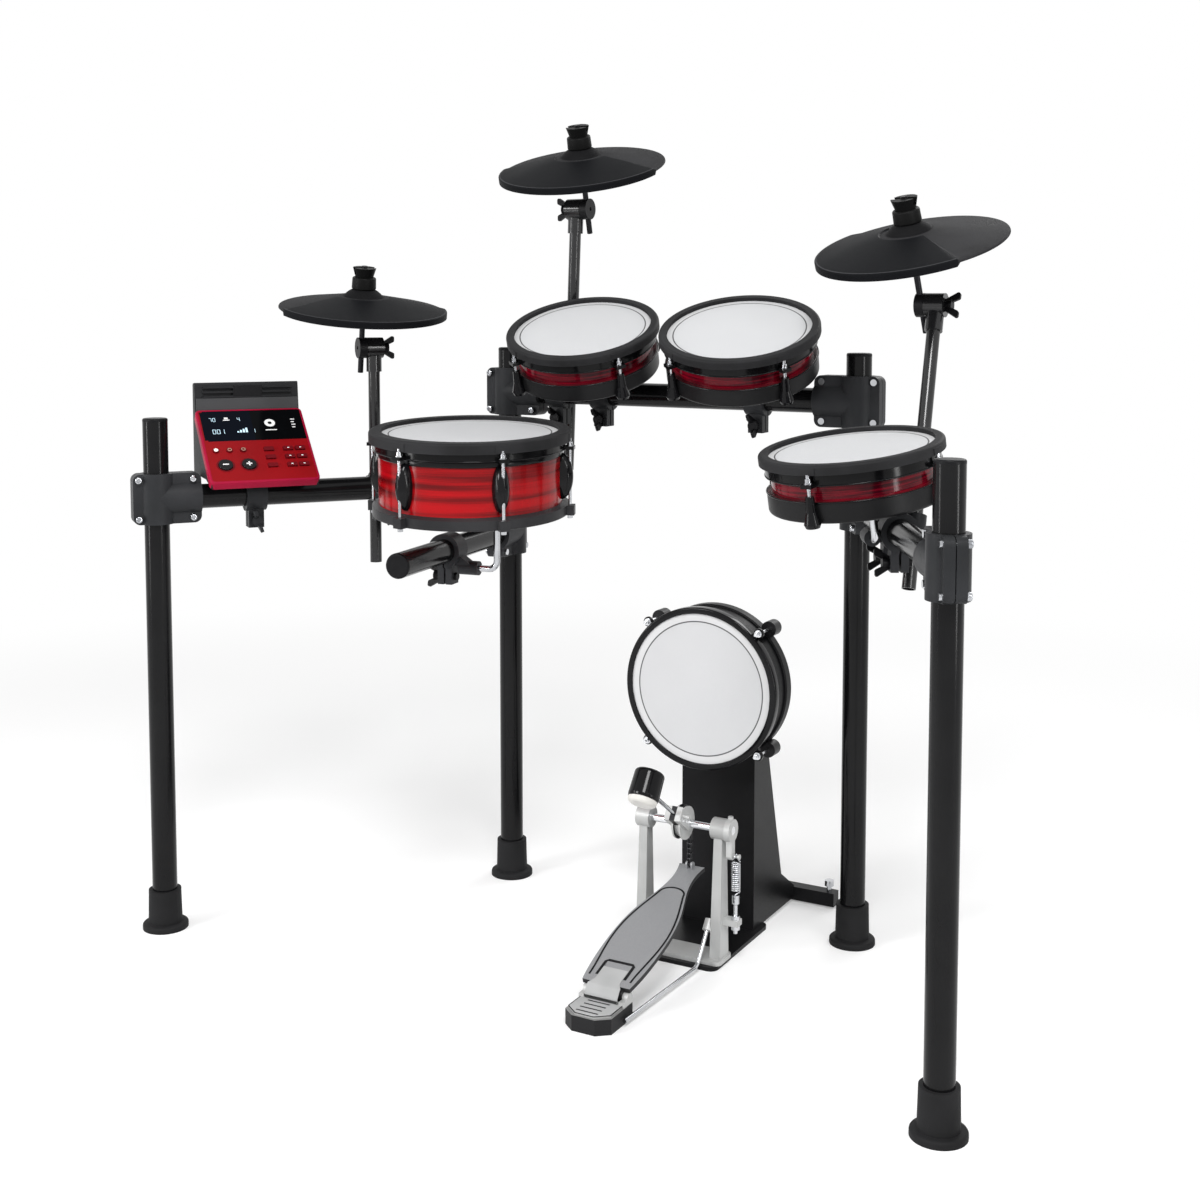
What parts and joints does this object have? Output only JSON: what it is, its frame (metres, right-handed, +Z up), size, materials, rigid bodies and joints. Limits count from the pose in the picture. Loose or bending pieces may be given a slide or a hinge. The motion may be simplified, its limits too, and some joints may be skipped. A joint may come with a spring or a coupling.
{
  "type": "electronic drum kit",
  "caption": "Electronic drum kit: mesh pads and rubber cymbals on a black tube rack, with a sound module, a kick tower and a chain pedal.",
  "frame": {"origin": "on the floor under the middle of the kit's box", "axes": "+X to the player's right, +Y away from the player, +Z up"},
  "size_m": [1.328, 0.671, 1.2666],
  "materials": {
    "black_tube": "gloss",
    "black_rubber": "matte",
    "black_plastic": "satin",
    "clamp_plastic": "satin",
    "chrome": "polished",
    "snare_red": "gloss",
    "tom_red": "gloss",
    "black_gloss": "gloss",
    "module_grey": "matte",
    "module_red": "satin",
    "display_black": "gloss",
    "mesh_white": "matte",
    "tower_black": "satin",
    "pedal_grey": "satin",
    "pedal_metal": "satin",
    "dark_steel": "satin",
    "bright_steel": "polished",
    "cymbal_rubber": "matte",
    "rim_rubber": "matte"
  },
  "bodies": {
    "rack": {"bar_clamps": "clamp_plastic", "boom_tubes": "black_tube", "clamp_wing_bolts": "black_plastic", "kick_claws": "black_gloss", "kick_head": "mesh_white", "kick_hoop": "black_gloss", "kick_shell": "black_plastic", "pedal_frame": "pedal_grey", "pedal_heel_plate": "pedal_grey", "pedal_spring": "bright_steel", "pedal_wires": "chrome", "post_feet": "black_rubber", "rack_bars": "black_tube", "rack_clamp_bolts": "chrome", "rack_clamp_halves": "clamp_plastic", "rack_posts": "black_tube", "tower_frame": "tower_black", "tower_spurs": "chrome", "tube_caps": "black_plastic"},
    "snare": {"snare_bottom_hoop": "black_gloss", "snare_head": "mesh_white", "snare_lugs": "black_gloss", "snare_rim": "rim_rubber", "snare_rods": "chrome", "snare_shell": "snare_red"},
    "tom_1": {"tom_1_head": "mesh_white", "tom_1_lugs": "black_gloss", "tom_1_rim": "rim_rubber", "tom_1_rods": "chrome", "tom_1_shell": "tom_red"},
    "tom_2": {"tom_2_head": "mesh_white", "tom_2_lugs": "black_gloss", "tom_2_rim": "rim_rubber", "tom_2_rods": "chrome", "tom_2_shell": "tom_red"},
    "floor_tom": {"floor_tom_head": "mesh_white", "floor_tom_lugs": "black_gloss", "floor_tom_rim": "rim_rubber", "floor_tom_rods": "chrome", "floor_tom_shell": "tom_red"},
    "hihat_tilting_rod": {"hihat_rod": "dark_steel", "hihat_wing_nut": "black_rubber"},
    "hihat_plate": {"hihat_cymbal": "cymbal_rubber"},
    "crash_tilting_rod": {"crash_rod": "dark_steel", "crash_wing_nut": "black_rubber"},
    "crash_plate": {"crash_cymbal": "cymbal_rubber"},
    "ride_tilting_rod": {"ride_rod": "dark_steel", "ride_wing_nut": "black_rubber"},
    "ride_plate": {"ride_cymbal": "cymbal_rubber"},
    "module": {"module_case": "module_grey", "module_clamp": "clamp_plastic", "module_display": "display_black", "module_panel": "module_red"},
    "minus": {"minus_button": "black_gloss"},
    "plus": {"plus_button": "black_gloss"},
    "keys": {"key_buttons": "module_red"},
    "beater": {"pedal_axle": "chrome", "pedal_beater": "black_plastic"},
    "footboard": {"pedal_footboard": "pedal_metal", "pedal_chain": "dark_steel"}
  },
  "joints": [
    {"name": "snare_tilt", "type": "hinge", "parent": "rack", "child": "snare", "pos_m": [-0.20697, -0.0326, 0.571], "axis": [0.9889, 0.1489, 0], "range_deg": [-5, 5]},
    {"name": "tom_1_tilt", "type": "hinge", "parent": "rack", "child": "tom_1", "pos_m": [-0.099, 0.16257, 0.84], "axis": [1, 0, 0], "range_deg": [-15, 3]},
    {"name": "tom_2_tilt", "type": "hinge", "parent": "rack", "child": "tom_2", "pos_m": [0.174, 0.16257, 0.84], "axis": [1, 0, 0], "range_deg": [-15, 3]},
    {"name": "floor_tom_tilt", "type": "hinge", "parent": "rack", "child": "floor_tom", "pos_m": [0.45684, -0.07746, 0.673], "axis": [0.5073, -0.8618, 0], "range_deg": [-2, 12]},
    {"name": "hihat_tilter", "type": "hinge", "parent": "rack", "child": "hihat_tilting_rod", "pos_m": [-0.44088, 0.03821, 0.906], "axis": [0.5986, 0.801, 0], "range_deg": [-12, 12]},
    {"name": "hihat_sway", "type": "hinge", "parent": "hihat_tilting_rod", "child": "hihat_plate", "pos_m": [-0.44471, 0.01535, 0.96505], "axis": [0.5839, 0.8119, 0], "range_deg": [-5, 5], "stiffness_Nm_per_rad": 4, "springref_deg": -1.15},
    {"name": "crash_tilter", "type": "hinge", "parent": "rack", "child": "crash_tilting_rod", "pos_m": [-0.16001, 0.21527, 1.13192], "axis": [1, 0, 0], "range_deg": [-12, 12]},
    {"name": "crash_sway", "type": "hinge", "parent": "crash_tilting_rod", "child": "crash_plate", "pos_m": [-0.13588, 0.19465, 1.19241], "axis": [0.9872, 0.1592, 0], "range_deg": [-5, 5], "stiffness_Nm_per_rad": 4, "springref_deg": -1.15},
    {"name": "ride_tilter", "type": "hinge", "parent": "rack", "child": "ride_tilting_rod", "pos_m": [0.47828, 0.11988, 0.97648], "axis": [1, 0, 0], "range_deg": [-12, 12]},
    {"name": "ride_sway", "type": "hinge", "parent": "ride_tilting_rod", "child": "ride_plate", "pos_m": [0.45161, 0.09248, 1.05567], "axis": [0.9779, -0.2091, 0], "range_deg": [-5, 5], "stiffness_Nm_per_rad": 4, "springref_deg": -1.15},
    {"name": "module_tilt", "type": "hinge", "parent": "rack", "child": "module", "pos_m": [-0.53861, -0.14592, 0.679], "axis": [0.5986, 0.801, 0], "range_deg": [-15, 15]},
    {"name": "minus_press", "type": "slide", "parent": "module", "child": "minus", "axis": [-0.5041, 0.3767, -0.7771], "range_m": [0, 0.0012], "stiffness_N_per_m": 400, "springref_m": -0.001},
    {"name": "plus_press", "type": "slide", "parent": "module", "child": "plus", "axis": [-0.5041, 0.3767, -0.7771], "range_m": [0, 0.0012], "stiffness_N_per_m": 400, "springref_m": -0.001},
    {"name": "keys_press", "type": "slide", "parent": "module", "child": "keys", "axis": [-0.5041, 0.3767, -0.7771], "range_m": [0, 0.0012], "stiffness_N_per_m": 400, "springref_m": -0.001},
    {"name": "beater_swing", "type": "hinge", "parent": "rack", "child": "beater", "pos_m": [0.13, 0.03212, 0.204], "axis": [-1, 0, 0], "range_deg": [0, 64], "stiffness_Nm_per_rad": 1, "springref_deg": -20.05, "deforming": ["pedal_spring"]},
    {"name": "footboard_press", "type": "hinge", "parent": "rack", "child": "footboard", "pos_m": [0.13, -0.20188, 0.03], "axis": [-1, 0, 0], "range_deg": [0, 6], "deforming": ["pedal_chain"]}
  ],
  "couplings": [
    {"joint": "footboard_press", "follows": "beater_swing", "ratio": 0.093023}
  ]
}
